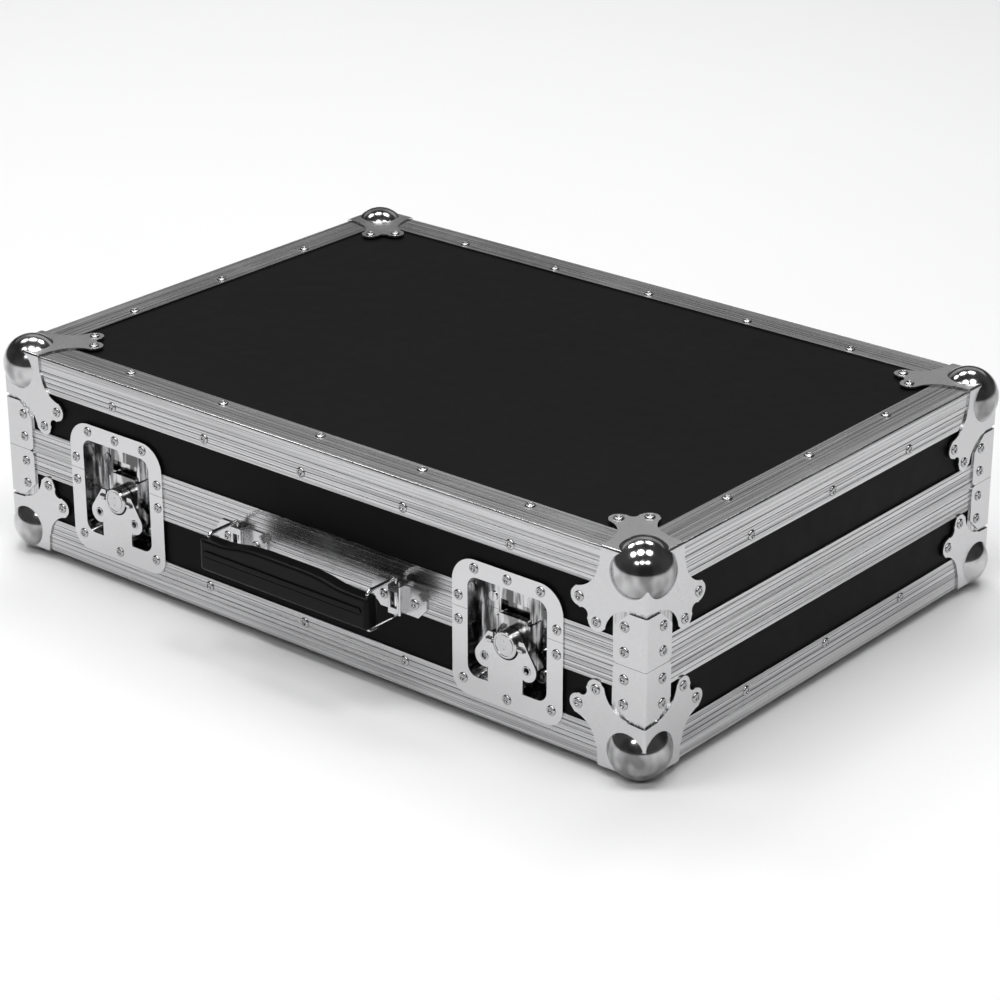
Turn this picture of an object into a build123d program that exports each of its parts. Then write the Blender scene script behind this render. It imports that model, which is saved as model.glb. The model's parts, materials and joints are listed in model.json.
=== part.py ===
from build123d import *
import os

# Lighting console flight case, in millimetres.
# +X runs along the front to the right, the front faces -Y, +Z is up and the feet stand on z = 0.

# Case, measured over the edge extrusions
case_width = 668.0
case_depth = 463.0
case_height = 174.0
base_height = 87.0          # from the lowest extrusion face to the parting plane
parting_gap = 0.3           # between the closed base and lid
panel_thickness = 9.0       # laminated birch plywood

# Edge extrusions along the long edges
edge_leg = 30.0
edge_wall = 1.6
edge_radius = 1.4
edge_grooves = (12.0, 16.4, 20.8, 25.2)
groove_width = 0.6
groove_depth = 0.45

# Closing rims along the parting plane
rim_leg = 20.0
rim_inner_leg = 13.0
rim_grooves = (4.2, 8.3, 12.4, 16.6)
base_web = 1.6
lid_web = 6.2
tongue_inset = 5.0
tongue_thickness = 2.5
tongue_height = 4.0
groove_side_gap = 1.2       # the tongue at the hinge side swings inward as it leaves
groove_end_gap = 0.6

# Ball corners
ball_radius = 24.5
ball_inset = 15.5
sheet = 1.5                 # steel sheet of the ball corners and braces
plate_reach = 41.0
plate_shoulder = (42.0, 14.0)
lobe_far = 60.0
lobe_near = 44.0
lobe_radius = 7.6
lobe_neck = (-5.0, -17.0)    # from the lobe's centre, as are the next two
lobe_side = (5.8, -4.9)
lobe_end = (1.0, 7.5)
plate_valley = 55.0         # along both edges, between a plate's two lobes
fold_radius = 1.8

# Corner braces across the parting plane
brace_width = 28.5
brace_start = 45.0          # from the case corner to the brace's end
brace_taper_along = 12.5
brace_taper_across = 13.5
brace_rivet_end = 11.0      # from each end of the brace
brace_rivet_inset = 18.5
brace_round = 5.0

# Rivets
rivet_radius = 3.9
rivet_height = 1.5
rivet_taper = 25.0          # degrees
rivet_sides = 8
rivet_pitch = 105.0
rivet_line = 23.0           # from the case edge
first_rivet_width = 125.5
first_rivet_depth = 126.0

# Recessed butterfly latches, with heights measured from the parting plane
latch_spread = 413.0        # between the two latch centres
flange_width = 106.0
flange_above = 42.2
flange_below = 71.0
flange_top_round = 22.0
flange_bottom_round = 15.0
flange_sheet = 1.2
flange_rivets = ((31.6, 35.2), (0.0, 35.2), (47.0, 9.2), (47.0, -10.7), (42.4, -58.2), (0.0, -63.4))
dish_width = 76.0
dish_above = 28.0
dish_below = 54.0
dish_round = 9.0
dish_depth = 13.5
dish_draft = 1.7            # how much narrower the dish floor is on each side
dish_clearance = 0.5
dimple = (25.0, 9.6)        # across and up
dimple_radius = 3.9
dimple_height = 1.0
stud_across = 23.0
stud_sizes = ((-22.5, 4.6), (-41.2, 5.2))  # height and radius
stud_height = 3.0
stud_cap_height = 0.9
stud_cap_step = 2.2         # how much smaller the cap's radius is
fit = 0.1                   # radial running clearance
barrel_drop = 17.0
barrel_radius = 11.0
barrel_front = 4.4
barrel_back = -5.4
barrel_chamfer = 0.9
face_ring_radius = 8.8
face_ring_width = 0.8
face_ring_depth = 0.4
face_mark_radius = 0.7
face_mark_rise = 3.2
shaft_radius = 4.0
washer_radius = 6.0
washer_sheet = 1.5
washer_gap = 0.3
cam_radius = 7.0
cam_offset = 4.0
cam_slack = 1.3             # above and below the cam in its window
cam_side_gap = 0.3
cam_sheet_gap = 0.2
wing_axis_out = 1.75
wing_sheet = 1.6
wing_tilt = 1.0             # degrees outward, so that the turning tab passes in front of the flange
wing_pin_radius = 1.6
wing_knuckle_radius = 2.8
wing_knuckle_length = 4.6
wing_barrel_gap = 1.4
wing_shoulder = 6.2
ear_centre = (20.3, -15.2)   # from the wing pin, as are the next sizes
ear_radius = 9.0
ear_waist = (27.6, -9.9)
ear_foot = -22.2
ear_hole_radius = 2.5
tab_half_width = 16.6
tab_length = 36.5
tab_round = 1.5
tab_return_depth = 3.5      # the tab's sides are folded back
tab_return_end = -31.5
hook_width = 28.0
hook_top = 2.0
hook_bottom = -42.0
hook_back = -8.6
hook_sheet = 2.4
hook_round = 2.5
guide_clearance = 0.4
rail_wall = 2.0
rail_end = 1.0
rail_cam_gap = 0.6
keeper_width = 33.0
keeper_front = -9.0
keeper_sheet = 1.5
keeper_base_gap = 0.5
keeper_top_gap = 0.4
keeper_round = 1.0
slot_width = 28.0
slot_low = 3.0
slot_high = 12.5

# Carrying handle
handle_x = 18.2
handle_spacing = 165.5      # between the two bails
bracket_height = 75.0       # bracket centre above the lowest extrusion face
bracket_points = ((22.0, 12.7), (27.4, 5.5), (27.4, -1.7), (19.0, -10.8))  # right half, from its centre
bracket_rivet_across = 15.5
channel_low = -10.5
channel_high = 13.2
channel_half_width = 6.5
channel_inner_half = 4.9
channel_window_half = 3.3
channel_window_end = 5.0
channel_round = 1.4
channel_gap = 0.3
stop_lug_length = 7.0
stop_lug_out = 3.0
bail_height = 77.5          # bail and grip centre above the lowest extrusion face
bail_wire_radius = 1.5
bail_axis_out = 5.0
bail_reach = 32.5
bail_half_height = 16.2
bail_bend = 3.0
bail_end = 8.0
grip_overhang = 5.25        # beyond each bail
grip_height = 26.5
grip_thickness = 13.5
grip_end_round = 4.0
grip_round = 2.6
arch_inset = 15.75          # from each bail to the arch's foot
arch_rise = 4.6
arch_shoulder = 43.0        # from the grip's middle
arch_shoulder_rise = 3.1
bead_inset = 0.7            # from each bail
bead_height = 4.6
bead_rise = 2.2             # above the grip's middle
bead_proud = 0.9
bead_round = 0.7
bead_groove = 1.1
bead_groove_depth = 0.5
bore_end_gap = 1.0
open_pivot_fit = 0.35

# Hinges on the back
hinge_spread = 413.0
hinge_width = 60.0
leaf_height = 31.0
leaf_sheet = 1.5
leaf_round = 4.0
leaf_rivet_rise = 19.5
leaf_rivet_spread = 40.0
hinge_axis_out = 4.8
knuckle_radius = 4.0
knuckle_count = 5
knuckle_gap = 0.4
knuckle_relief = 0.9
hinge_pin_radius = 2.0
hinge_fit = 0.05
pin_head_radius = 2.9
pin_head = 1.0
pin_head_gap = 0.2

# Foam lining
foam_floor = 15.0
foam_wall = 18.0
foam_lid = 20.0
foam_pocket = 4.6           # clear space round each latch dish
foam_gap = 0.3

# Places worked out from the sizes above
half_width = case_width / 2
ball_proud = ball_radius - ball_inset
low_z = ball_proud
high_z = low_z + case_height
parting_z = low_z + base_height
lid_height = case_height - base_height
grip_axis_out = bail_axis_out + bail_reach
grip_face_out = grip_axis_out + grip_thickness / 2
front_out = grip_face_out + bead_proud
back_out = max(ball_proud, hinge_axis_out + knuckle_radius)
front_y = (front_out - back_out - case_depth) / 2
back_y = front_y + case_depth
mid_y = (front_y + back_y) / 2
panel_inner = edge_wall + panel_thickness
corner_nip = panel_inner    # cube cut off at each case corner, which the ball fills
rim_inner = panel_inner + edge_wall
bar_reach = 2 * edge_leg    # more than any long profile's own reach
wing_cutout_radius = barrel_radius + wing_barrel_gap
latch_xs = {"left": -latch_spread / 2, "right": latch_spread / 2}
hinge_xs = (-hinge_spread / 2, hinge_spread / 2)
handle_xs = {"left": handle_x - handle_spacing / 2, "right": handle_x + handle_spacing / 2}

nodes = {}


def keep(name, *shapes):
    nodes[name] = [solid for shape in shapes for solid in shape.solids()]


def block(x0, x1, y0, y1, z0, z1):
    centre = ((x0 + x1) / 2, (y0 + y1) / 2, (z0 + z1) / 2)
    return Pos(*centre) * Box(x1 - x0, y1 - y0, z1 - z0)


def disc(radius, x, y, z0, z1):
    return Pos(x, y, (z0 + z1) / 2) * Cylinder(radius, z1 - z0)


def front(x, z, out=0.0):
    return Plane(origin=(x, front_y - out, z), x_dir=(1, 0, 0), z_dir=(0, -1, 0))


def back(x, z, out=0.0):
    return Plane(origin=(x, back_y + out, z), x_dir=(-1, 0, 0), z_dir=(0, 1, 0))


def left(y, z, out=0.0):
    return Plane(origin=(-half_width - out, y, z), x_dir=(0, -1, 0), z_dir=(-1, 0, 0))


def right(y, z, out=0.0):
    return Plane(origin=(half_width + out, y, z), x_dir=(0, 1, 0), z_dir=(1, 0, 0))


def top(x, y, out=0.0):
    return Plane(origin=(x, y, high_z + out), x_dir=(1, 0, 0), z_dir=(0, 0, 1))


def bottom(x, y, out=0.0):
    return Plane(origin=(x, y, low_z - out), x_dir=(1, 0, 0), z_dir=(0, 0, -1))


# Long pieces are drawn lying along X with their outer edge on the X axis, then put on a side.
profile_plane = Plane(origin=(0, 0, 0), x_dir=(0, 1, 0), z_dir=(1, 0, 0))


def mitred_bar(profile, length):
    half = length / 2
    bar = Pos(-half, 0, 0) * extrude(profile_plane * profile, length)
    corners = [(-half, 0), (half, 0), (half - bar_reach, bar_reach), (-half + bar_reach, bar_reach)]
    wedge = extrude(Pos(0, 0, -bar_reach) * make_face(Polyline(*corners, close=True)), 2 * bar_reach)
    return bar & wedge


def on_side(piece, side, z):
    places = {
        "front": Pos(0, front_y, z),
        "back": Pos(0, back_y, z) * Rot(0, 0, 180),
        "left": Pos(-half_width, mid_y, z) * Rot(0, 0, -90),
        "right": Pos(half_width, mid_y, z) * Rot(0, 0, 90),
    }
    return places[side] * piece


def side_length(side):
    return case_width if side in ("front", "back") else case_depth


def corner_nips(z0, z1):
    cuts = []
    for sx in (-1, 1):
        for y0, y1 in ((front_y, front_y + corner_nip), (back_y - corner_nip, back_y)):
            x0 = min(sx * half_width, sx * (half_width - corner_nip))
            cuts.append(block(x0, x0 + corner_nip, y0, y1, z0, z1))
    return cuts


base_nips = corner_nips(low_z, low_z + corner_nip)
lid_nips = corner_nips(high_z - corner_nip, high_z)


def edge_profile():
    legs = Rectangle(edge_leg, edge_wall, align=(Align.MIN, Align.MIN))
    legs += Rectangle(edge_wall, edge_leg, align=(Align.MIN, Align.MIN))
    legs = fillet(legs.vertices().sort_by_distance((0, 0, 0))[0], edge_radius)
    for place in edge_grooves:
        legs -= Pos(place, groove_depth / 2) * Rectangle(groove_width, groove_depth)
        legs -= Pos(groove_depth / 2, place) * Rectangle(groove_depth, groove_width)
    return legs


def edge_extrusion(side, lid):
    bar = mitred_bar(edge_profile(), side_length(side))
    if lid:
        bar = mirror(bar, about=Plane.XY)
    placed = on_side(bar, side, high_z if lid else low_z)
    return placed - (lid_nips if lid else base_nips)


def rectangle(u0, u1, v0, v1):
    return Pos((u0 + u1) / 2, (v0 + v1) / 2) * Rectangle(u1 - u0, v1 - v0)


def rim_profile(lid):
    start = parting_gap / 2
    web = lid_web if lid else base_web
    shape = rectangle(0, edge_wall, start, rim_leg)
    shape += rectangle(0, rim_inner, start, start + web)
    shape += rectangle(panel_inner, rim_inner, start, rim_inner_leg)
    for place in rim_grooves:
        shape -= rectangle(0, groove_depth, place - groove_width / 2, place + groove_width / 2)
    if lid:
        inner = tongue_inset + tongue_thickness + groove_side_gap
        shape -= rectangle(tongue_inset - groove_side_gap, inner, 0, tongue_height + groove_end_gap)
        return shape
    shape = mirror(shape, about=Plane.XZ)
    return shape + rectangle(tongue_inset, tongue_inset + tongue_thickness, -start - base_web / 2, tongue_height)


def dish_pocket(x, extra):
    half = dish_width / 2 + flange_sheet + extra
    z0 = parting_z - dish_below - flange_sheet - extra
    z1 = parting_z + dish_above + flange_sheet + extra
    return block(x - half, x + half, front_y - 1, front_y + dish_depth + flange_sheet + extra, z0, z1)


dish_pockets = [dish_pocket(x, dish_clearance) for x in latch_xs.values()]


def rim(side, lid):
    placed = on_side(mitred_bar(rim_profile(lid), side_length(side)), side, parting_z)
    return placed - dish_pockets if side == "front" else placed


def corner_angle(sx, sy, z0, z1):
    shape = Rectangle(edge_leg, edge_wall, align=(Align.MIN, Align.MIN))
    shape += Rectangle(edge_wall, edge_leg, align=(Align.MIN, Align.MIN))
    shape = fillet(shape.vertices().sort_by_distance((0, 0, 0))[0], edge_radius)
    return at_corner(extrude(shape, z1 - z0), sx, sy, z0)


def at_corner(piece, sx, sy, z, lid=False):
    if sx > 0:
        piece = mirror(piece, about=Plane.YZ)
    if sy > 0:
        piece = mirror(piece, about=Plane.XZ)
    if lid:
        piece = mirror(piece, about=Plane.XY)
    return Pos(sx * half_width, back_y if sy > 0 else front_y, z) * piece


def panels(lid):
    start = parting_gap / 2 + (lid_web if lid else base_web)
    z_out = (high_z - edge_wall) if lid else (low_z + edge_wall)
    z_in = (high_z - panel_inner) if lid else (low_z + panel_inner)
    z_rim = (parting_z + start) if lid else (parting_z - start)
    x_out = half_width - edge_wall
    x_in = half_width - panel_inner
    low, high = sorted((z_in, z_rim))
    flat = block(-x_out, x_out, front_y + edge_wall, back_y - edge_wall, min(z_out, z_in), max(z_out, z_in))
    found = {
        "top_panel" if lid else "bottom_panel": flat,
        "front_panel": block(-x_out, x_out, front_y + edge_wall, front_y + panel_inner, low, high) - dish_pockets,
        "back_panel": block(-x_out, x_out, back_y - panel_inner, back_y - edge_wall, low, high),
        "left_panel": block(-x_out, -x_in, front_y + panel_inner, back_y - panel_inner, low, high),
        "right_panel": block(x_in, x_out, front_y + panel_inner, back_y - panel_inner, low, high),
    }
    nips = lid_nips if lid else base_nips
    return {name: panel - nips for name, panel in found.items()}


def corner_plate_outline():
    steps = [(lobe_far + u, lobe_near + v) for u, v in (lobe_neck, lobe_side, lobe_end)]
    half = [(plate_reach, -sheet), plate_shoulder, *steps, (plate_valley, plate_valley)]
    other = [(v, u) for u, v in reversed(half[:-1])]
    outline = make_face(Polyline((-sheet, -sheet), *half, *other, close=True))
    lobe = Circle(lobe_radius)
    return outline + [Pos(lobe_far, lobe_near) * lobe, Pos(lobe_near, lobe_far) * lobe]


def ball_corner():
    # Three lobed plates folded round the case corner, with a ball that fills the nipped corner.
    far = 2 * lobe_far
    outline = corner_plate_outline()
    plates = extrude(Plane.XY * outline, -sheet)
    plates += extrude(Plane.YZ * outline, -sheet)
    plates += extrude(Plane.ZX * outline, -sheet)
    folded = block(-sheet, far, -sheet, far, -sheet, far)
    corner = Vector(-sheet, -sheet, -sheet)
    ends = [(edge, edge @ 0 - corner, edge @ 1 - corner) for edge in folded.edges()]
    folds = [edge for edge, one, other in ends if min(one.length, other.length) < 0.01]
    plates = plates & fillet(folds, fold_radius)
    octant = block(-far, ball_inset, -far, ball_inset, -far, ball_inset)
    case_inside = block(0, far, 0, far, 0, far)
    nip = block(0, corner_nip, 0, corner_nip, 0, corner_nip)
    ball = Pos(ball_inset, ball_inset, ball_inset) * Sphere(ball_radius)
    return (plates - octant) + (ball - case_inside) + (ball & nip)


def brace_length(lid):
    return (lid_height if lid else base_height) - brace_start


def brace_outline(end):
    points = [(-sheet, 0), (brace_width, 0), (brace_width, end - brace_taper_along),
              (brace_width - brace_taper_across, end), (-sheet, end)]
    outline = make_face(Polyline(*points, close=True))
    return fillet(outline.vertices().sort_by_distance((brace_width, 0, 0))[0], brace_round)


def corner_brace(lid):
    # An angle of two legs, drawn with the parting plane at z = 0 and running up.
    outline = brace_outline(brace_length(lid))
    legs = extrude(Plane(origin=(0, 0, 0), x_dir=(1, 0, 0), z_dir=(0, -1, 0)) * outline, sheet)
    legs += extrude(Plane(origin=(0, 0, 0), x_dir=(0, 1, 0), z_dir=(1, 0, 0)) * outline, -sheet)
    folded = block(-sheet, 2 * brace_width, -sheet, 2 * brace_width, -sheet, case_height)
    bend = folded.edges().filter_by(Axis.Z).sort_by_distance((-sheet, -sheet, 0))[0]
    legs = Pos(0, 0, parting_gap / 2) * (legs & fillet(bend, fold_radius))
    return legs if lid else mirror(legs, about=Plane.XY)


def rivet(place, out=0.0):
    # A low head with a few flat sides, seated on its face.
    head = extrude(RegularPolygon(rivet_radius, rivet_sides), rivet_height, taper=rivet_taper)
    return place.offset(out).location * head


def edge_rivets(lid):
    found = []
    flat = top if lid else bottom
    z = (high_z - rivet_line) if lid else (low_z + rivet_line)
    width_steps = spaced(first_rivet_width, case_width)
    depth_steps = spaced(first_rivet_depth, case_depth)
    for step in width_steps:
        x = step - half_width
        for y in (front_y + rivet_line, back_y - rivet_line):
            found.append(rivet(flat(x, y)))
        found.append(rivet(back(x, z)))
        if lid or all(abs(x - latch_x) > flange_width / 2 + rivet_radius for latch_x in latch_xs.values()):
            found.append(rivet(front(x, z)))
    for step in depth_steps:
        y = front_y + step
        for x in (-half_width + rivet_line, half_width - rivet_line):
            found.append(rivet(flat(x, y)))
        found.append(rivet(left(y, z)))
        found.append(rivet(right(y, z)))
    return found


def spaced(first, length):
    # Rivets at the wanted pitch, spread evenly between equal end distances.
    count = round((length - 2 * first) / rivet_pitch)
    return [first + step * (length - 2 * first) / count for step in range(count + 1)]


def corner_rivets(lid):
    found = []
    pairs = ((lobe_far, lobe_near), (lobe_near, lobe_far))
    for sx in (-1, 1):
        for sy in (-1, 1):
            y_edge = back_y if sy > 0 else front_y
            z_edge = high_z if lid else low_z
            up = -1 if lid else 1
            face = back if sy > 0 else front
            side = right if sx > 0 else left
            flat = top if lid else bottom
            for a, b in pairs:
                x, y, z = sx * (half_width - a), y_edge - sy * a, z_edge + up * b
                found.append(rivet(face(x, z), sheet))
                found.append(rivet(side(y, z), sheet))
                found.append(rivet(flat(x, y_edge - sy * b), sheet))
            for rise in (brace_rivet_end, brace_length(lid) - brace_rivet_end):
                z = parting_z - up * rise
                found.append(rivet(face(sx * (half_width - brace_rivet_inset), z), sheet))
                found.append(rivet(side(y_edge - sy * brace_rivet_inset, z), sheet))
    return found


def latch_rivets(lid):
    found = []
    for latch_x in latch_xs.values():
        for x, rise in flange_rivets:
            if (rise > 0) != lid:
                continue
            for across in sorted({x, -x}):
                found.append(rivet(front(latch_x + across, parting_z + rise), flange_sheet))
    return found


def hinge_rivets(lid):
    found = []
    rise = leaf_rivet_rise if lid else -leaf_rivet_rise
    for hinge_x in hinge_xs:
        for across in (-leaf_rivet_spread / 2, 0, leaf_rivet_spread / 2):
            found.append(rivet(back(hinge_x + across, parting_z + rise), leaf_sheet))
    return found


# The latch is drawn with x across, y up from the parting plane and z outward from the case face.
def tall_rectangle(width, above, below, radius):
    return Pos(0, (above - below) / 2) * RectangleRounded(width, above + below, radius)


def flange_outline():
    outline = rectangle(-flange_width / 2, flange_width / 2, -flange_below, flange_above)
    outline = fillet(outline.vertices().group_by(Axis.Y)[-1], flange_top_round)
    return fillet(outline.vertices().group_by(Axis.Y)[0], flange_bottom_round)


def dish_level(grown):
    # The dish opening's outline, made larger or smaller on every side.
    return tall_rectangle(dish_width + 2 * grown, dish_above + grown, dish_below + grown, dish_round + grown)


def latch_dish():
    wall = flange_sheet
    flange = extrude(flange_outline(), flange_sheet)
    pan = loft([dish_level(wall), Pos(0, 0, -dish_depth - wall) * dish_level(wall - dish_draft)])
    hollow = loft([Pos(0, 0, flange_sheet) * dish_level(0), Pos(0, 0, -dish_depth) * dish_level(-dish_draft)])
    return (flange + pan) - hollow


def halved(piece, lid):
    far = 2 * flange_width
    gap = parting_gap / 2
    keep_half = block(-far, far, gap, far, -far, far) if lid else block(-far, far, -far, -gap, -far, far)
    return piece & keep_half


def lower_dish(dish):
    # The base half has a bored floor for the barrel, two stepped guides for the hook and four studs.
    shell = halved(dish, False)
    beside_hook = hook_width / 2 + guide_clearance
    under_hook = cam_radius + cam_offset + rail_cam_gap
    steps = ((under_hook, hook_back - guide_clearance), (beside_hook, hook_back + hook_sheet))
    stud_top = -dish_depth + stud_height
    for side in (-1, 1):
        for inner, height in steps:
            x0, x1 = sorted((side * inner, side * (beside_hook + rail_wall)))
            shell += block(x0, x1, hook_bottom - rail_end, -rail_end, -dish_depth, height)
        for stud_y, stud_radius in stud_sizes:
            shell += disc(stud_radius, side * stud_across, stud_y, -dish_depth, stud_top)
            cap_radius = stud_radius - stud_cap_step
            shell += disc(cap_radius, side * stud_across, stud_y, -dish_depth, stud_top + stud_cap_height)
    return shell - disc(shaft_radius + fit, 0, -barrel_drop, -2 * dish_depth, -dish_depth / 2)


def upper_dish(dish):
    shell = halved(dish, True)
    across, up = dimple
    for side in (-1, 1):
        shell += disc(dimple_radius, side * across, up, -dish_depth, -dish_depth + dimple_height)
    return shell


def keeper():
    # A channel on the floor of the lid half, with the slot that the hook draws on.
    low = parting_gap / 2 + keeper_base_gap
    high = dish_above - dish_draft - keeper_top_gap
    half = keeper_width / 2
    plate = block(-half, half, low, high, keeper_front - keeper_sheet, keeper_front)
    for side in (-1, 1):
        x0, x1 = sorted((side * half, side * (half - keeper_sheet)))
        plate += block(x0, x1, low, high, -dish_depth, keeper_front)
    plate = fillet(plate.edges().filter_by(Axis.Y).group_by(Axis.Z)[-1], keeper_round)
    return plate - block(-slot_width / 2, slot_width / 2, slot_low, slot_high, -dish_depth, 0)


def barrel():
    y = -barrel_drop
    body = disc(barrel_radius, 0, y, barrel_back, barrel_front)
    body = chamfer(body.edges().sort_by(Axis.Z)[-1], barrel_chamfer)
    ring_low = barrel_front - face_ring_depth
    ring = disc(face_ring_radius, 0, y, ring_low, barrel_front)
    body -= ring - disc(face_ring_radius - face_ring_width, 0, y, ring_low, barrel_front)
    for up in (-1, 1):
        body -= disc(face_mark_radius, 0, y + up * face_mark_rise, ring_low, barrel_front)
    tail_end = -dish_depth - flange_sheet - washer_gap
    body += disc(shaft_radius, 0, y, tail_end, barrel_back)
    body += disc(washer_radius, 0, y, tail_end - washer_sheet, tail_end)
    cam_front = hook_back + hook_sheet - cam_sheet_gap
    body += disc(cam_radius, 0, y - cam_offset, hook_back + cam_sheet_gap, cam_front)
    bore = Pos(0, y, wing_axis_out) * Rot(0, 90, 0) * Cylinder(wing_pin_radius + hinge_fit, 3 * barrel_radius)
    return body - bore


def wing_pin():
    length = 2 * (wing_cutout_radius + wing_knuckle_length)
    pin = Cylinder(wing_pin_radius, length)
    return Pos(0, -barrel_drop, wing_axis_out) * Rot(0, 90, 0) * pin


def wing_outline():
    # Two arms beside the barrel, two pierced ears and the tab that the finger pulls.
    ear_x, ear_y = ear_centre
    waist_x, waist_y = ear_waist
    arm_x = wing_cutout_radius + wing_knuckle_length
    body = make_face(Polyline((-arm_x, wing_shoulder), (arm_x, wing_shoulder), (waist_x, waist_y),
                              (ear_x, ear_foot), (-ear_x, ear_foot), (-waist_x, waist_y), close=True))
    tab = rectangle(-tab_half_width, tab_half_width, -tab_length, ear_y)
    body += fillet(tab.vertices().group_by(Axis.Y)[0], tab_round)
    for side in (-1, 1):
        body += Pos(side * ear_x, ear_y) * Circle(ear_radius)
    body -= Circle(wing_cutout_radius)
    body -= rectangle(-wing_cutout_radius, wing_cutout_radius, 0, 2 * wing_shoulder)
    for side in (-1, 1):
        body -= Pos(side * ear_x, ear_y) * Circle(ear_hole_radius)
    return body


def wing():
    plate = Pos(0, 0, -wing_sheet / 2) * extrude(wing_outline(), wing_sheet)
    for side in (-1, 1):
        middle = side * (wing_cutout_radius + wing_knuckle_length / 2)
        roll = Pos(middle, 0, 0) * Rot(0, 90, 0)
        plate += roll * Cylinder(wing_knuckle_radius, wing_knuckle_length)
        plate -= roll * Cylinder(wing_pin_radius + hinge_fit, 2 * wing_knuckle_length)
        x0, x1 = sorted((side * tab_half_width, side * (tab_half_width - wing_sheet)))
        plate += block(x0, x1, tab_return_end, ear_foot, -tab_return_depth, 0)
    return Pos(0, -barrel_drop, wing_axis_out) * Rot(-wing_tilt, 0, 0) * plate


def hook():
    # A flat plate with a window that the eccentric on the barrel works in.
    height = hook_top - hook_bottom
    outline = Pos(0, hook_bottom + height / 2) * RectangleRounded(hook_width, height, hook_round)
    window = Rectangle(2 * (cam_radius + cam_offset + cam_side_gap), 2 * (cam_radius + cam_slack))
    outline -= Pos(0, -barrel_drop - cam_offset) * window
    return Pos(0, 0, hook_back) * extrude(outline, hook_sheet)


def build_latches():
    dish = latch_dish()
    lower = lower_dish(dish)
    upper = upper_dish(dish)
    pieces = {"latch_dish": lower, "latch_lid_dish": upper, "latch_keeper": keeper(), "latch_barrel": barrel(),
              "latch_wing_pin": wing_pin(), "latch_wing": wing(), "latch_hook": hook()}
    for side, x in latch_xs.items():
        place = front(x, parting_z).location
        for name, piece in pieces.items():
            keep(f"{name}_{side}", place * piece)


def stop_lug():
    # A lug folded outward from the bracket's upper right edge.
    edge = Line(*bracket_points[:2])
    place = Plane(origin=edge @ 0.5, x_dir=edge % 0.5, z_dir=(0, 0, 1)).location
    return place * block(-stop_lug_length / 2, stop_lug_length / 2, -sheet, 0, 0, sheet + stop_lug_out)


def handle_bracket():
    # Drawn like the latch, with its centre at the origin.
    mirrored = [(-x, y) for x, y in reversed(bracket_points)]
    plate = extrude(make_face(Polyline(*bracket_points, *mirrored, close=True)), sheet) + stop_lug()
    inside_out = bail_axis_out + bail_wire_radius + channel_gap
    half, inner, window = channel_half_width, channel_inner_half, channel_window_half
    channel = block(-half, half, channel_low, channel_high, 0, inside_out + sheet)
    channel = fillet(channel.edges().filter_by(Axis.Y).group_by(Axis.Z)[-1], channel_round)
    hollow = block(-inner, inner, 2 * channel_low, 2 * channel_high, -sheet, inside_out)
    hollow += block(-window, window, channel_low + channel_window_end, channel_high - channel_window_end,
                    0, 2 * inside_out)
    return (plate + channel) - hollow


def bail():
    tip = grip_axis_out
    axis = bail_axis_out
    rise = bail_half_height
    lower = [(0, -bail_end, tip), (0, -rise, tip), (0, -rise, axis)]
    upper = [(0, rise, axis), (0, rise, tip), (0, bail_end, tip)]
    path = FilletPolyline(*lower, *upper, radius=bail_bend)
    section = Plane(origin=path @ 0, z_dir=path % 0) * Circle(bail_wire_radius)
    return sweep(section, path=path)


def grip_outline():
    # Straight below, with a top edge that rises in a long arch between the two bails.
    end = handle_spacing / 2 + grip_overhang
    foot = handle_spacing / 2 - arch_inset
    low, high = -grip_height / 2, grip_height / 2
    arch = Spline((-foot, high), (-arch_shoulder, high + arch_shoulder_rise), (0, high + arch_rise),
                  (arch_shoulder, high + arch_shoulder_rise), (foot, high), tangents=((1, 0), (1, 0)))
    rest = Polyline((foot, high), (end, high), (end, low), (-end, low), (-end, high), (-foot, high))
    return make_face([arch, *rest.edges()])


def grip_bead():
    # A long raised bead with round ends, in a shallow groove of its own.
    length = handle_spacing - 2 * bead_inset
    groove = extrude(SlotOverall(length + 2 * bead_groove, bead_height + 2 * bead_groove), bead_groove_depth)
    bead = extrude(SlotOverall(length, bead_height), bead_groove_depth + bead_proud)
    bead = fillet(bead.faces().sort_by(Axis.Z)[-1].edges(), bead_round)
    place = Pos(0, bead_rise, grip_face_out - bead_groove_depth)
    return place * groove, place * bead


def grip():
    bar = Pos(0, 0, grip_axis_out - grip_thickness / 2) * extrude(grip_outline(), grip_thickness)
    bar = fillet(bar.edges().filter_by(Axis.Y), grip_end_round)
    arch_feet = bar.edges().filter_by(Axis.Z).filter_by_position(Axis.X, -handle_spacing / 2, handle_spacing / 2)
    upright = bar.edges().filter_by(Axis.Y)
    bar = fillet(bar.edges() - arch_feet - upright, grip_round)
    groove, bead = grip_bead()
    bar = bar - groove + bead
    low, high = bail_end - bore_end_gap, grip_height / 2 + bore_end_gap
    for side, play in ((-1, fit), (1, open_pivot_fit)):
        for up in (-1, 1):
            bore = Rot(90, 0, 0) * Cylinder(bail_wire_radius + play, high - low)
            bar -= Pos(side * handle_spacing / 2, up * (low + high) / 2, grip_axis_out) * bore
    return bar


def build_handle():
    brackets = []
    for side, x in handle_xs.items():
        brackets.append(front(x, low_z + bracket_height).location * handle_bracket())
        keep(f"handle_bail_{side}", front(x, low_z + bail_height).location * bail())
    keep("handle_brackets", *brackets)
    keep("handle_grip", front(handle_x, low_z + bail_height).location * grip())


def handle_rivets():
    found = []
    for x in handle_xs.values():
        for across in (-bracket_rivet_across, bracket_rivet_across):
            found.append(rivet(front(x + across, low_z + bracket_height), sheet))
    return found


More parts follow.
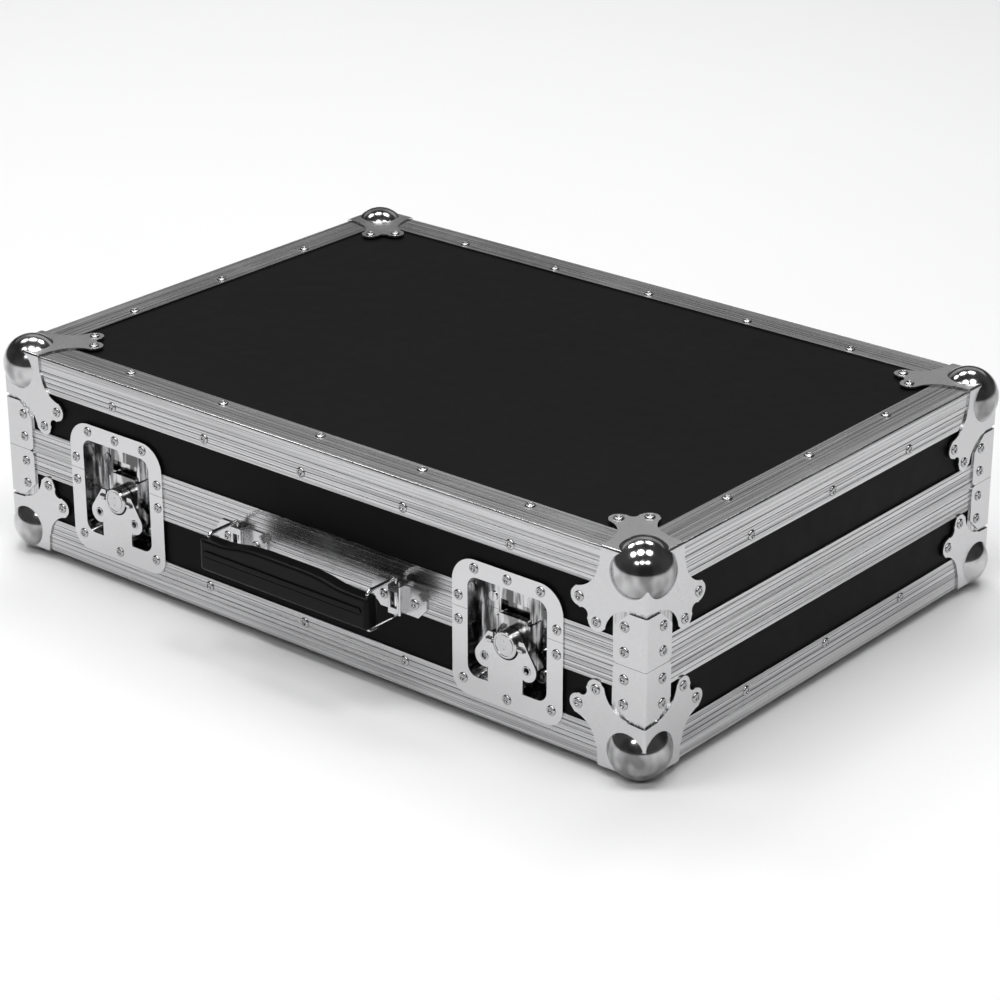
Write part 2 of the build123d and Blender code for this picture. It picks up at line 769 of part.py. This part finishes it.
# Hinges are drawn with x along the pin, y up from the parting plane and z outward from the back.
def hinge_leaf(lid):
    notch = knuckle_radius + knuckle_relief
    leaf = block(-hinge_width / 2, hinge_width / 2, parting_gap, leaf_height, 0, leaf_sheet)
    leaf = fillet(leaf.edges().filter_by(Axis.Z).group_by(Axis.Y)[-1], leaf_round)
    pitch = hinge_width / knuckle_count
    half = (pitch - knuckle_gap) / 2
    for step in range(knuckle_count):
        middle = -hinge_width / 2 + pitch * (step + 0.5)
        if (step % 2 == 1) != lid:
            reach = half + knuckle_gap
            leaf -= block(middle - reach, middle + reach, 0, notch, -leaf_sheet, 2 * leaf_sheet)
            continue
        leaf += block(middle - half, middle + half, parting_gap, knuckle_radius, 0, hinge_axis_out)
        leaf += Pos(middle, 0, hinge_axis_out) * Rot(0, 90, 0) * Cylinder(knuckle_radius, 2 * half)
    leaf -= Pos(0, 0, hinge_axis_out) * Rot(0, 90, 0) * Cylinder(hinge_pin_radius + hinge_fit, 2 * hinge_width)
    return leaf if lid else mirror(leaf, about=Plane.XZ)


def hinge_pin():
    half = hinge_width / 2 + pin_head_gap
    pin = Cylinder(hinge_pin_radius, 2 * half)
    for side in (-1, 1):
        pin += Pos(0, 0, side * (half + pin_head / 2)) * Cylinder(pin_head_radius, pin_head)
    return Pos(0, 0, hinge_axis_out) * Rot(0, 90, 0) * pin


def build_hinges():
    places = [back(x, parting_z).location for x in hinge_xs]
    keep("hinge_base_leaves", *[place * hinge_leaf(False) for place in places])
    keep("hinge_lid_leaves", *[place * hinge_leaf(True) for place in places])
    keep("hinge_pins", *[place * hinge_pin() for place in places])


def build_foam():
    x_out = half_width - panel_inner
    y0 = front_y + panel_inner
    y1 = back_y - panel_inner
    low = low_z + panel_inner
    inset = foam_wall + foam_gap
    keep("base_foam_floor", block(-x_out + inset, x_out - inset, y0 + inset, y1 - inset, low, low + foam_floor))
    wall_top = parting_z - rim_inner_leg - foam_gap
    front_wall = block(-x_out, x_out, y0, y0 + foam_wall, low, wall_top)
    for x in latch_xs.values():
        front_wall -= dish_pocket(x, foam_pocket)
    keep("base_foam_walls", front_wall,
         block(-x_out, x_out, y1 - foam_wall, y1, low, wall_top),
         block(-x_out, -x_out + foam_wall, y0 + foam_wall, y1 - foam_wall, low, wall_top),
         block(x_out - foam_wall, x_out, y0 + foam_wall, y1 - foam_wall, low, wall_top))
    ceiling = high_z - panel_inner
    keep("lid_foam_pad", block(-x_out, x_out, y0, y1, ceiling - foam_lid, ceiling))


def build_shell(lid):
    half = "lid" if lid else "base"
    for name, panel in panels(lid).items():
        keep(f"{half}_{name}", panel)
    keep(f"{half}_front_edge_extrusion", edge_extrusion("front", lid))
    keep(f"{half}_back_edge_extrusion", edge_extrusion("back", lid))
    keep(f"{half}_side_edge_extrusions", edge_extrusion("left", lid), edge_extrusion("right", lid))
    keep(f"{half}_front_rim", rim("front", lid))
    keep(f"{half}_back_rim", rim("back", lid))
    keep(f"{half}_side_rims", rim("left", lid), rim("right", lid))
    z0, z1 = (parting_z + rim_leg, high_z - edge_leg) if lid else (low_z + edge_leg, parting_z - rim_leg)
    corners = [(sx, sy) for sx in (-1, 1) for sy in (-1, 1)]
    keep(f"{half}_corner_angles", *[corner_angle(sx, sy, z0, z1) for sx, sy in corners])
    corner = ball_corner()
    brace = corner_brace(lid)
    names = {(-1, -1): "front_left", (1, -1): "front_right", (-1, 1): "back_left", (1, 1): "back_right"}
    for sx, sy in corners:
        z = high_z if lid else low_z
        keep(f"{half}_ball_corner_{names[sx, sy]}", at_corner(corner, sx, sy, z, lid))
    keep(f"{half}_corner_braces", *[at_corner(brace, sx, sy, parting_z) for sx, sy in corners])
    rivets = edge_rivets(lid) + corner_rivets(lid) + latch_rivets(lid) + hinge_rivets(lid)
    if not lid:
        rivets += handle_rivets()
    keep(f"{half}_rivets", *rivets)


def write():
    os.makedirs("parts", exist_ok=True)
    for name, solids in nodes.items():
        shape = solids[0] if len(solids) == 1 else Compound(solids)
        export_step(shape, f"parts/{name}.step")


build_shell(False)
build_shell(True)
build_latches()
build_handle()
build_hinges()
build_foam()
write()
print(len(nodes), "nodes")
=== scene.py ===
import json
import math

import bmesh
import bpy
from mathutils import Euler, Matrix, Vector


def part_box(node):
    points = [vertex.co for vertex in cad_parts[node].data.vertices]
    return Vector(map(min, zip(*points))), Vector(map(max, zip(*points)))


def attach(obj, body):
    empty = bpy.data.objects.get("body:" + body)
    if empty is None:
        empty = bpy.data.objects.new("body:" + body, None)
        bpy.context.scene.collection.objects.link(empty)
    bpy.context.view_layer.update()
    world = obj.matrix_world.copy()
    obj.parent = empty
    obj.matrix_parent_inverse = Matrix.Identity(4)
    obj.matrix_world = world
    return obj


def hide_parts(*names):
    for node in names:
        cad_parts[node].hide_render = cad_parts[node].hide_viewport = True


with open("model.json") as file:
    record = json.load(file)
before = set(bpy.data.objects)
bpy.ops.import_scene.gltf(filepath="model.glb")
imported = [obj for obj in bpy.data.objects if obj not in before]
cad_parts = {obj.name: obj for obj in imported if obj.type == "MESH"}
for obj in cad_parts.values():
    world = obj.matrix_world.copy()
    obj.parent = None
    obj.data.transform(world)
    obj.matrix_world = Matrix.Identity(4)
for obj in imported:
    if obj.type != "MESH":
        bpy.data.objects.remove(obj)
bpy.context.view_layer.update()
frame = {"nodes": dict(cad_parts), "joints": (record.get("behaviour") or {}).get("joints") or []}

nodes = frame["nodes"]
halves = ("base", "lid")
millimetre = 0.001
weld = 1e-6
pins = {joint["name"]: Vector(joint["pos_m"]) for joint in frame["joints"] if "pos_m" in joint}

# Camera, as the photograph was taken
panel_low, panel_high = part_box("base_bottom_panel")
case_middle = (panel_low + panel_high) / 2
camera_target = Vector((0.0124, case_middle.y - 0.00745, 0.0649))
camera_distance = 2.5553
camera_azimuth = math.radians(39.785)
camera_elevation = math.radians(23.643)
camera_lens = 111.06
camera_sensor = 36.0
camera_reach = 100.0

# Studio
floor_size = 60.0
lamp_height = 3.2
lamp_radius = 0.55
lamp_columns = (-1.8, -0.4, 1.0)
lamp_rows = (-1.8, 0.8, 3.4)
lamp_power = 27.0
room_light = 0.07

# A wide soft panel behind the case, which the upward faces mirror
panel_width = 10.0
panel_depth = 5.0
panel_row = -6.5
panel_height = 3.4
panel_power = 70.0

# Painted shade and painted reflection in the recesses of the latches: how dark a streak gets, and the depths
# behind the flange's face between which the dark painted streaks set in
recess_shade = 0.12
recess_start = 0.002
recess_end = 0.009

# Rivets: the profile is in millimetres, radius and height, from the foot to the middle of the bore
rivet_segments = 20
rivet_profile = ((4.2, 0.0), (4.18, 0.28), (3.95, 0.72), (3.6, 1.1), (3.1, 1.35), (2.6, 1.42), (2.3, 1.33),
                 (2.2, 1.1), (2.12, 0.7), (2.08, 0.12), (0.0, 0.06))
painted_shade_from_ring = 6          # bands from here inward are the bore, which gets painted shade

# Round cuts in the outline of the ball-corner plates, in millimetres: the centre along each edge
# from the case corner, and the radius. Two curve the necks, and the last is between the lobes.
plate_cuts = ((66.8, 12.8, 23.6), (12.8, 66.8, 23.6), (56.6, 56.6, 4.8))
cut_segments = 96
cut_outside = -4.0
cut_inside = 2.0
smooth_angle = math.radians(32)

# The ball of a ball corner, in metres, and how near its sphere a face lies to count as the ball's
ball_inset = 0.0155
ball_radius = 0.0245
ball_slack = 0.0003

# Eyelets in the ears of the latch wings, placed from the wing's pin
ear_across = 0.0203
ear_drop = 0.0152
wing_half_sheet = 0.0008
wing_tilt = math.radians(1.0)
eyelet_profile = ((2.45, -0.3), (2.42, 0.25), (2.75, 0.55), (3.3, 0.6), (3.8, 0.35), (3.95, -0.05))
eyelet_weld = 1e-7

# Foam lining
foam_ease = 0.002
foam_ease_steps = 3
foam_flat = math.radians(1)
peak_pitch = 0.034
peak_steps = 8
peak_valley = 0.011
peak_roundness = 1.2
pad_margin = 0.0005

# A trace of blue in every grey
cool = 1.008


def camera():
    data = bpy.data.cameras.new("camera")
    data.lens = camera_lens
    data.sensor_width = camera_sensor
    data.clip_end = camera_reach
    data.dof.use_dof = False
    eye = bpy.data.objects.new("camera", data)
    turn = Euler((math.pi / 2 - camera_elevation, 0.0, camera_azimuth))
    eye.rotation_euler = turn
    eye.location = camera_target + turn.to_matrix() @ Vector((0.0, 0.0, camera_distance))
    bpy.context.scene.collection.objects.link(eye)
    bpy.context.scene.camera = eye


def new_object(name, data):
    piece = bpy.data.objects.new(name, data)
    bpy.context.scene.collection.objects.link(piece)
    return piece


def finished_mesh(work, name):
    mesh = bpy.data.meshes.new(name)
    work.to_mesh(mesh)
    work.free()
    return mesh


def smooth(mesh):
    for face in mesh.polygons:
        face.use_smooth = True


def circle(radius, segments):
    angles = [2 * math.pi * step / segments for step in range(segments)]
    return [(radius * math.cos(angle), radius * math.sin(angle)) for angle in angles]


def wall(work, lower, upper):
    # Faces between two rings of corners.
    count = len(lower)
    spans = [(step, (step + 1) % count) for step in range(count)]
    return [work.faces.new((lower[i], lower[j], upper[j], upper[i])) for i, j in spans]


# Materials. Each is made of nodes in object coordinates, which are metres in the frame.
class Shader:
    def __init__(self, name):
        self.material = bpy.data.materials.new(name)
        self.material.use_nodes = True
        self.tree = self.material.node_tree
        self.bsdf = self.tree.nodes["Principled BSDF"]
        self.place = self.node("ShaderNodeTexCoord").outputs["Object"]

    def node(self, kind, **settings):
        made = self.tree.nodes.new(kind)
        for key, value in settings.items():
            setattr(made, key, value)
        return made

    def link(self, source, target):
        self.tree.links.new(source, target)

    def set(self, **values):
        for key, value in values.items():
            self.bsdf.inputs[key.replace("_", " ")].default_value = value

    def noise(self, scale, stretch=(1.0, 1.0, 1.0), detail=4.0, rough=0.55):
        mapping = self.node("ShaderNodeMapping")
        mapping.inputs["Scale"].default_value = stretch
        self.link(self.place, mapping.inputs["Vector"])
        noise = self.node("ShaderNodeTexNoise")
        noise.inputs["Scale"].default_value = scale
        noise.inputs["Detail"].default_value = detail
        noise.inputs["Roughness"].default_value = rough
        self.link(mapping.outputs["Vector"], noise.inputs["Vector"])
        return noise.outputs["Fac"]

    def spread(self, source, low, high, start=0.3, end=0.7):
        ranged = self.node("ShaderNodeMapRange")
        for key, value in (("From Min", start), ("From Max", end), ("To Min", low), ("To Max", high)):
            ranged.inputs[key].default_value = value
        self.link(source, ranged.inputs["Value"])
        return ranged.outputs["Result"]

    def product(self, first, second):
        made = self.node("ShaderNodeMath", operation="MULTIPLY")
        self.link(first, made.inputs[0])
        self.link(second, made.inputs[1])
        return made.outputs[0]

    def tint(self, source, dark, light, start=0.3, end=0.7):
        ramp = self.node("ShaderNodeValToRGB")
        ramp.color_ramp.elements[0].position = start
        ramp.color_ramp.elements[0].color = (*dark, 1.0)
        ramp.color_ramp.elements[1].position = end
        ramp.color_ramp.elements[1].color = (*light, 1.0)
        self.link(source, ramp.inputs["Fac"])
        self.link(ramp.outputs["Color"], self.bsdf.inputs["Base Color"])

    def roughness(self, source, low, high):
        self.link(self.spread(source, low, high), self.bsdf.inputs["Roughness"])

    def bump(self, source, depth, strength=1.0):
        bump = self.node("ShaderNodeBump")
        bump.inputs["Distance"].default_value = depth
        bump.inputs["Strength"].default_value = strength
        self.link(source, bump.inputs["Height"])
        self.link(bump.outputs["Normal"], self.bsdf.inputs["Normal"])


def grey(value):
    return (value, value, value * cool)


def laminate():
    shader = Shader("black_laminate")
    shader.set(Specular_IOR_Level=0.06)
    mottle = shader.noise(9.0, detail=5.0)
    shader.tint(mottle, grey(0.0036), grey(0.0046))
    shader.roughness(shader.noise(60.0, detail=6.0), 0.44, 0.52)
    shader.bump(shader.noise(1400.0, detail=3.0), 0.00002, 0.5)
    return shader.material


def drawn_metal(name, along, light, shine):
    # Aluminium with the fine die lines of its extrusion, which run along one axis.
    shader = Shader(name)
    shader.set(Metallic=1.0)
    stretch = [1.0, 1.0, 1.0]
    stretch[along] = 0.004
    lines = shader.noise(520.0, stretch, detail=6.0, rough=0.7)
    handling = shader.noise(14.0, detail=4.0)
    shader.tint(lines, grey(light * 0.5), grey(light), 0.4, 0.55)
    shader.roughness(shader.product(handling, shader.spread(lines, 0.8, 1.2)), shine, shine + 0.14)
    shader.bump(lines, 0.00012, 0.6)
    return shader.material


def pressed_metal(name, dark, light, low, high, depth=0.00004):
    # Plated sheet, slightly mottled, with small handling marks.
    shader = Shader(name)
    shader.set(Metallic=1.0)
    spangle = shader.noise(420.0, detail=6.0, rough=0.7)
    clouds = shader.noise(22.0, detail=3.0)
    shader.tint(shader.product(spangle, shader.spread(clouds, 0.9, 1.1)), grey(dark), grey(light))
    shader.roughness(clouds, low, high)
    shader.bump(spangle, depth, 0.4)
    return shader.material


def ball_painted_reflection():
    # Drawn steel ball, polished unevenly in its roughness, with dark clouds of painted reflection in its
    # colour.
    shader = Shader("ball_painted_reflection")
    shader.set(Metallic=1.0)
    clouds = shader.noise(48.0, (1.0, 1.0, 0.6), detail=2.0)
    # Painted reflection: dark clouds in the base colour.
    shader.tint(clouds, grey(0.2), grey(0.56), 0.38, 0.6)
    shader.roughness(shader.noise(30.0), 0.1, 0.2)
    shader.bump(shader.noise(500.0, detail=5.0), 0.00001, 0.4)
    return shader.material


def painted_recess_shade(name, dark, light, face):
    # Plated sheet with painted shade in its recess, which is whatever lies behind its face: dark upright
    # streaks of painted reflection that deepen behind the face.
    shader = Shader(name)
    shader.set(Metallic=1.0)
    apart = shader.node("ShaderNodeSeparateXYZ")
    shader.link(shader.place, apart.inputs[0])
    streak_noise = shader.noise(150.0, (1.0, 1.0, 0.15), detail=3.0)
    painted_streaks = shader.spread(streak_noise, recess_shade, 1.0, 0.44, 0.58)
    # Painted shade: the dark streaks set in with depth behind the flange's face.
    depth = shader.spread(apart.outputs["Y"], 0.0, 1.0, face + recess_start, face + recess_end)
    mix = shader.node("ShaderNodeMix")
    mix.inputs["A"].default_value = 1.0
    shader.link(depth, mix.inputs[0])
    shader.link(painted_streaks, mix.inputs["B"])
    shader.tint(mix.outputs["Result"], grey(dark), grey(light), 0.0, 1.0)
    shader.roughness(shader.noise(22.0, detail=3.0), 0.08, 0.18)
    shader.bump(shader.noise(420.0, detail=6.0, rough=0.7), 0.00003, 0.4)
    return shader.material


def rubber():
    shader = Shader("grip_rubber")
    shader.set(Specular_IOR_Level=0.1)
    shader.tint(shader.noise(30.0), grey(0.0025), grey(0.004))
    shader.roughness(shader.noise(90.0, detail=5.0), 0.3, 0.42)
    shader.bump(shader.noise(2600.0, detail=2.0), 0.00005, 0.5)
    return shader.material


def foam():
    shader = Shader("lining_foam")
    shader.set(Roughness=0.95, Specular_IOR_Level=0.15)
    cells = shader.node("ShaderNodeTexVoronoi")
    cells.inputs["Scale"].default_value = 700.0
    shader.link(shader.place, cells.inputs["Vector"])
    shader.tint(cells.outputs["Distance"], grey(0.03), grey(0.075), 0.1, 0.6)
    shader.bump(cells.outputs["Distance"], 0.0006, 0.8)
    return shader.material


def painted_bore_shade():
    # Painted shade: the unlit inside of a tubular rivet, and a painted shade line round its foot.
    shader = Shader("rivet_painted_shade")
    shader.set(Specular_IOR_Level=0.1)
    shader.tint(shader.noise(400.0), grey(0.004), grey(0.008))
    shader.roughness(shader.noise(300.0), 0.5, 0.7)
    return shader.material


def paper():
    shader = Shader("studio_floor")
    shader.set(Roughness=0.75, Specular_IOR_Level=0.1)
    shader.tint(shader.noise(3.0), grey(0.86), grey(0.87))
    return shader.material


materials = {
    "laminate": laminate(),
    "along_x": drawn_metal("extrusion_along_x", along=0, light=0.6, shine=0.18),
    "along_y": drawn_metal("extrusion_along_y", along=1, light=0.6, shine=0.18),
    "along_z": drawn_metal("extrusion_along_z", along=2, light=0.6, shine=0.18),
    "plate": pressed_metal("zinc_plate", dark=0.56, light=0.62, low=0.18, high=0.28),
    "ball": ball_painted_reflection(),
    "latch": pressed_metal("latch_plate", dark=0.57, light=0.63, low=0.1, high=0.2),
    # The latch dishes get painted shade and painted reflection in their recesses.
    "dish": painted_recess_shade("latch_dish_painted_shade", dark=0.04, light=0.62, face=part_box("latch_dish_left")[0].y),
    "barrel": pressed_metal("turned_steel", dark=0.5, light=0.58, low=0.1, high=0.2),
    "wire": pressed_metal("bright_wire", dark=0.72, light=0.78, low=0.06, high=0.12, depth=0.00001),
    "rivet": pressed_metal("rivet_steel", dark=0.42, light=0.5, low=0.14, high=0.24, depth=0.00001),
    "bore": painted_bore_shade(),
    "rubber": rubber(),
    "foam": foam(),
    "floor": paper(),
}


def paint(piece, name):
    piece.data.materials.clear()
    piece.data.materials.append(materials[name])


def paint_frame():
    # A node takes the first kind that has one of its words.
    kinds = {
        "laminate": ("_panel",),
        "along_x": ("front_edge_extrusion", "back_edge_extrusion", "front_rim", "back_rim"),
        "along_y": ("side_edge_extrusions", "side_rims"),
        "along_z": ("corner_angles",),
        "plate": ("corner_braces", "hinge_base_leaves", "hinge_lid_leaves", "handle_brackets"),
        "ball": ("ball_corner",),
        "dish": ("latch_dish", "latch_lid_dish", "latch_keeper", "latch_hook"),
        "barrel": ("latch_barrel", "latch_wing_pin", "hinge_pins"),
        "latch": ("latch_wing",),
        "wire": ("handle_bail",),
        "rubber": ("handle_grip",),
        "foam": ("foam",),
        "rivet": ("rivets",),
    }
    for name, node in nodes.items():
        found = [kind for kind, words in kinds.items() if any(word in name for word in words)]
        paint(node, found[0])


def islands(node):
    # The separate solids of a CAD node, each as its list of corners.
    work = bmesh.new()
    work.from_mesh(node.data)
    bmesh.ops.remove_doubles(work, verts=work.verts, dist=weld)
    seen = set()
    found = []
    for start in work.verts:
        if start in seen:
            continue
        seen.add(start)
        group, waiting = [], [start]
        while waiting:
            corner = waiting.pop()
            group.append(corner.co.copy())
            for edge in corner.link_edges:
                other = edge.other_vert(corner)
                if other not in seen:
                    seen.add(other)
                    waiting.append(other)
        found.append(group)
    work.free()
    return found


def rivet_seat(corners):
    # A CAD rivet is a short cone: its thin direction is its axis and its wide end is its seat.
    low = Vector(min(c[i] for c in corners) for i in range(3))
    high = Vector(max(c[i] for c in corners) for i in range(3))
    size = high - low
    axis = min(range(3), key=lambda i: size[i])
    middle = (low + high) / 2
    ends = {}
    for end in (low[axis], high[axis]):
        near = [c for c in corners if abs(c[axis] - end) < size[axis] / 4]
        ends[end] = max((c - middle).length for c in near)
    seat = max(ends, key=ends.get)
    out = Vector((0.0, 0.0, 0.0))
    out[axis] = 1.0 if seat == low[axis] else -1.0
    middle[axis] = seat
    return middle, out


def turned_rings(work, place, profile):
    # Rings of corners turned round a profile in millimetres, and the bands of faces between them.
    rings = []
    for radius, height in profile:
        spots = [Vector((x, y, height)) * millimetre for x, y in circle(radius, rivet_segments)]
        rings.append([work.verts.new(place @ spot) for spot in spots])
    bands = [wall(work, lower, upper) for lower, upper in zip(rings, rings[1:])]
    return rings, bands


def facing(centre, out):
    return Matrix.Translation(centre) @ Vector((0, 0, 1)).rotation_difference(out).to_matrix().to_4x4()


def rivet_heads(half):
    node = nodes[f"{half}_rivets"]
    work = bmesh.new()
    for corners in islands(node):
        place = facing(*rivet_seat(corners))
        rings, bands = turned_rings(work, place, rivet_profile[:-1])
        # The band at the foot and the bore take the painted shade material.
        for band in (bands[0], *bands[painted_shade_from_ring:]):
            for face in band:
                face.material_index = 1
        hub = work.verts.new(place @ Vector((0.0, 0.0, rivet_profile[-1][1] * millimetre)))
        for step in range(rivet_segments):
            face = work.faces.new((rings[-1][step], rings[-1][(step + 1) % rivet_segments], hub))
            face.material_index = 1
        work.faces.new(list(reversed(rings[0])))
    mesh = finished_mesh(work, f"{half}_rivet_heads")
    for face in mesh.polygons:
        face.use_smooth = len(face.vertices) < rivet_segments      # all but the flat seats
    piece = new_object(f"{half}_rivet_heads", mesh)
    paint(piece, "rivet")
    mesh.materials.append(materials["bore"])
    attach(piece, half)
    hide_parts(f"{half}_rivets")


def plate_cutter(corner, inward, normal, along, across, radius):
    # A round bar through one plate. The plate's own axes follow its normal in x, y, z order.
    first, second = [(normal + step) % 3 for step in (1, 2)]
    work = bmesh.new()
    rings = []
    for depth in (cut_outside, cut_inside):
        ring = []
        for u, v in circle(radius, cut_segments):
            spot = Vector((0.0, 0.0, 0.0))
            spot[normal] = depth
            spot[first] = along + u
            spot[second] = across + v
            ring.append(work.verts.new(corner + Vector(a * b for a, b in zip(spot, inward)) * millimetre))
        rings.append(ring)
        work.faces.new(ring)
    wall(work, *rings)
    bmesh.ops.recalc_face_normals(work, faces=work.faces)
    return new_object("plate_cutter", finished_mesh(work, "plate_cutter"))


def ball_corner_plates(half, depth, side):
    # The corner as built, with its plates' straight outlines cut to curves, and its ball polished, with
    # painted reflection in its colour.
    node = f"{half}_ball_corner_{depth}_{side}"
    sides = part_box(f"{half}_side_edge_extrusions")
    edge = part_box(f"{half}_{depth}_edge_extrusion")
    ends = (side == "right", depth == "back", half == "lid")
    corner = Vector((sides[ends[0]].x, edge[ends[1]].y, edge[ends[2]].z))
    inward = [-1.0 if end else 1.0 for end in ends]
    piece = new_object(f"{node}_plates", nodes[node].data.copy())
    cutters = []
    for normal in range(3):
        for along, across, radius in plate_cuts:
            cutter = plate_cutter(corner, inward, normal, along, across, radius)
            cut = piece.modifiers.new("cut", "BOOLEAN")
            cut.operation = "DIFFERENCE"
            cut.solver = "EXACT"
            cut.object = cutter
            cutters.append(cutter)
    apply_modifiers(piece)
    for cutter in cutters:
        bpy.data.objects.remove(cutter)
    mesh = piece.data
    if "custom_normal" in mesh.attributes:
        mesh.attributes.remove(mesh.attributes["custom_normal"])
    mesh.shade_smooth()
    mesh.set_sharp_from_angle(angle=smooth_angle)
    paint(piece, "plate")
    mesh.materials.append(materials["ball"])
    ball = corner + Vector(inward) * ball_inset
    for face in mesh.polygons:
        apart = [(mesh.vertices[i].co - ball).length for i in face.vertices]
        if max(abs(away - ball_radius) for away in apart) < ball_slack:
            face.material_index = 1
    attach(piece, half)
    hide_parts(node)


def collars(name, places, profile, material, body):
    # Rings with a closed section, seated round holes.
    work = bmesh.new()
    for place in places:
        turned_rings(work, place, (*profile, profile[0]))
    bmesh.ops.remove_doubles(work, verts=work.verts, dist=eyelet_weld)
    bmesh.ops.recalc_face_normals(work, faces=work.faces)
    piece = new_object(name, finished_mesh(work, name))
    smooth(piece.data)
    paint(piece, material)
    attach(piece, body)
    return piece


def wing_eyelets(side):
    pin = pins[f"wing_fold_{side}"]
    tilt = Matrix.Rotation(-wing_tilt, 4, "X")
    out = tilt @ Vector((0.0, -1.0, 0.0))
    places = []
    for across in (-ear_across, ear_across):
        seat = pin + tilt @ Vector((across, -wing_half_sheet, -ear_drop))
        places.append(facing(seat, out))
    collars(f"wing_eyelets_{side}", places, eyelet_profile, "rivet", f"wing_{side}")


def apply_modifiers(piece):
    shape = piece.evaluated_get(bpy.context.evaluated_depsgraph_get())
    piece.data = bpy.data.meshes.new_from_object(shape)
    piece.modifiers.clear()


def cut_foam(name, node, body):
    # Foam blocks as cut for the case, with their edges eased.
    mesh = nodes[node].data.copy()
    piece = new_object(name, mesh)
    work = bmesh.new()
    work.from_mesh(mesh)
    bmesh.ops.remove_doubles(work, verts=work.verts, dist=weld)
    bmesh.ops.dissolve_limit(work, angle_limit=foam_flat, verts=work.verts, edges=work.edges)
    work.to_mesh(mesh)
    work.free()
    ease = piece.modifiers.new("ease", "BEVEL")
    ease.width = foam_ease
    ease.segments = foam_ease_steps
    ease.limit_method = "ANGLE"
    apply_modifiers(piece)
    finish_foam(piece, node, body)


def finish_foam(piece, node, body):
    smooth(piece.data)
    paint(piece, "foam")
    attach(piece, body)
    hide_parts(node)


def profiled_lid_foam():
    # Egg-box foam: rows of rounded peaks that reach down to the pad's lower face.
    low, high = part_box("lid_foam_pad")
    size = high - low
    columns, rows = [round(size[i] / peak_pitch) * peak_steps for i in (0, 1)]
    turn = 2 * math.pi
    work = bmesh.new()
    grid = []
    for row in range(rows + 1):
        line = []
        for column in range(columns + 1):
            u, v = column / columns, row / rows
            wave = math.cos(turn * column / peak_steps) * math.cos(turn * row / peak_steps)
            drop = pad_margin + peak_valley * (0.5 - 0.5 * wave) ** peak_roundness
            line.append(work.verts.new((low.x + size.x * u, low.y + size.y * v, low.z + drop)))
        grid.append(line)
    for near, far in zip(grid, grid[1:]):
        for column in range(columns):
            work.faces.new((near[column], far[column], far[column + 1], near[column + 1]))
    rim = [edge for edge in work.edges if edge.is_boundary]
    walls = bmesh.ops.extrude_edge_only(work, edges=rim)["geom"]
    raised = [item for item in walls if isinstance(item, bmesh.types.BMVert)]
    for corner in raised:
        corner.co.z = high.z - pad_margin
    edge_loop = [item for item in walls if isinstance(item, bmesh.types.BMEdge)]
    bmesh.ops.contextual_create(work, geom=[edge for edge in edge_loop if edge.is_boundary])
    bmesh.ops.recalc_face_normals(work, faces=work.faces)
    finish_foam(new_object("lid_foam", finished_mesh(work, "lid_foam")), "lid_foam_pad", "lid")


def area_light(name, shape, size, power, place):
    data = bpy.data.lights.new(name, "AREA")
    data.shape = shape
    data.size, data.size_y = size
    data.energy = power
    lamp = new_object(name, data)
    lamp.location = place
    return lamp


def studio():
    work = bmesh.new()
    bmesh.ops.create_grid(work, x_segments=8, y_segments=8, size=floor_size / 2)
    floor = new_object("studio_floor", finished_mesh(work, "studio_floor"))
    paint(floor, "floor")
    world = bpy.data.worlds.new("studio")
    bpy.context.scene.world = world
    world.use_nodes = True
    background = world.node_tree.nodes["Background"]
    background.inputs["Color"].default_value = (1.0, 1.0, 1.0, 1.0)
    background.inputs["Strength"].default_value = room_light
    aside = Vector((math.cos(camera_azimuth), math.sin(camera_azimuth), 0.0))
    towards = Vector((math.sin(camera_azimuth), -math.cos(camera_azimuth), 0.0))
    up = Vector((0.0, 0.0, 1.0))
    disc = (2 * lamp_radius, 2 * lamp_radius)
    for row in lamp_rows:
        for column in lamp_columns:
            place = aside * column + towards * row + up * lamp_height
            area_light("ceiling_lamp", "DISK", disc, lamp_power, place)
    place = towards * panel_row + up * panel_height
    panel = area_light("back_panel", "RECTANGLE", (panel_width, panel_depth), panel_power, place)
    panel.rotation_euler = (0.0, 0.0, camera_azimuth)


bpy.context.scene.view_settings.view_transform = "Standard"
camera()
studio()
paint_frame()
for half in halves:
    rivet_heads(half)
    for depth in ("front", "back"):
        for side in ("left", "right"):
            ball_corner_plates(half, depth, side)
for side in ("left", "right"):
    wing_eyelets(side)
cut_foam("base_foam_floor_pad", "base_foam_floor", "base")
cut_foam("base_foam_wall_pads", "base_foam_walls", "base")
profiled_lid_foam()
